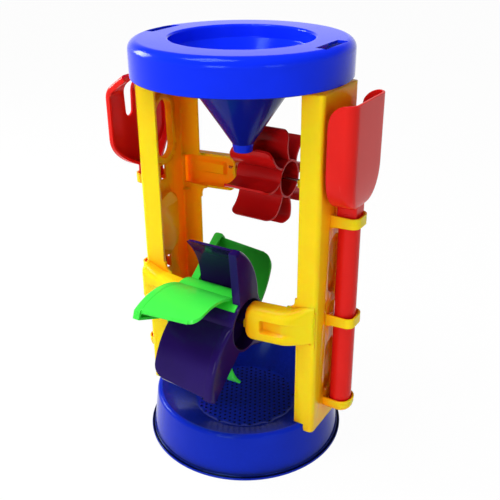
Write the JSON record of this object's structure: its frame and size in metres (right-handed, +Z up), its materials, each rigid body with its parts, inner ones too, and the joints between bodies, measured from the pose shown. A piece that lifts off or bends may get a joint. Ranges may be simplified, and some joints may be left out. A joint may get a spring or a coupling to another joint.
{
  "type": "sand wheel toy",
  "caption": "Sand mill toy: a funnel hopper on columns pours sand over paddle wheels into a sieve base, with a shovel and a rake held in loops on its sides",
  "frame": {"origin": "centre of the round base's underside, on the ground", "axes": "+Z is up, +X points from the left column with the rake to the right column with the shovel, and the lower wheel stands out to the front, which is -Y"},
  "size_m": [0.2574, 0.2296, 0.411],
  "materials": {
    "blue_base": "gloss moulded polypropylene, deep blue",
    "yellow": "gloss moulded polypropylene, yellow",
    "blue_hopper": "gloss moulded polypropylene, bright blue",
    "axle_steel": "drawn steel rod",
    "red_wheel": "gloss moulded polypropylene, red",
    "purple": "gloss moulded polypropylene, dark purple",
    "green": "gloss moulded polypropylene, bright green",
    "red_tools": "gloss moulded polypropylene, red"
  },
  "bodies": {
    "frame": {"base_tray": "blue_base", "right_column": "yellow", "left_column": "yellow", "hopper": "blue_hopper", "upper_axle": "axle_steel", "lower_axle": "axle_steel"},
    "upper_wheel": {"upper_wheel": "red_wheel"},
    "lower_wheel": {"purple_wheel_half": "purple", "green_wheel_half": "green"},
    "shovel": {"shovel": "red_tools"},
    "rake": {"rake": "red_tools"}
  },
  "joints": [
    {"name": "upper_wheel_spin", "type": "hinge", "parent": "frame", "child": "upper_wheel", "pos_m": [0, 0.0465, 0.2685], "axis": [1, 0, 0], "continuous": true},
    {"name": "lower_wheel_spin", "type": "hinge", "parent": "frame", "child": "lower_wheel", "pos_m": [-0.0045, -0.048, 0.153], "axis": [1, 0, 0], "continuous": true},
    {"name": "shovel_lift", "type": "slide", "parent": "frame", "child": "shovel", "axis": [0, 0, 1], "range_m": [0, 0.205]},
    {"name": "rake_lift", "type": "slide", "parent": "frame", "child": "rake", "axis": [0, 0, 1], "range_m": [0, 0.205]}
  ]
}
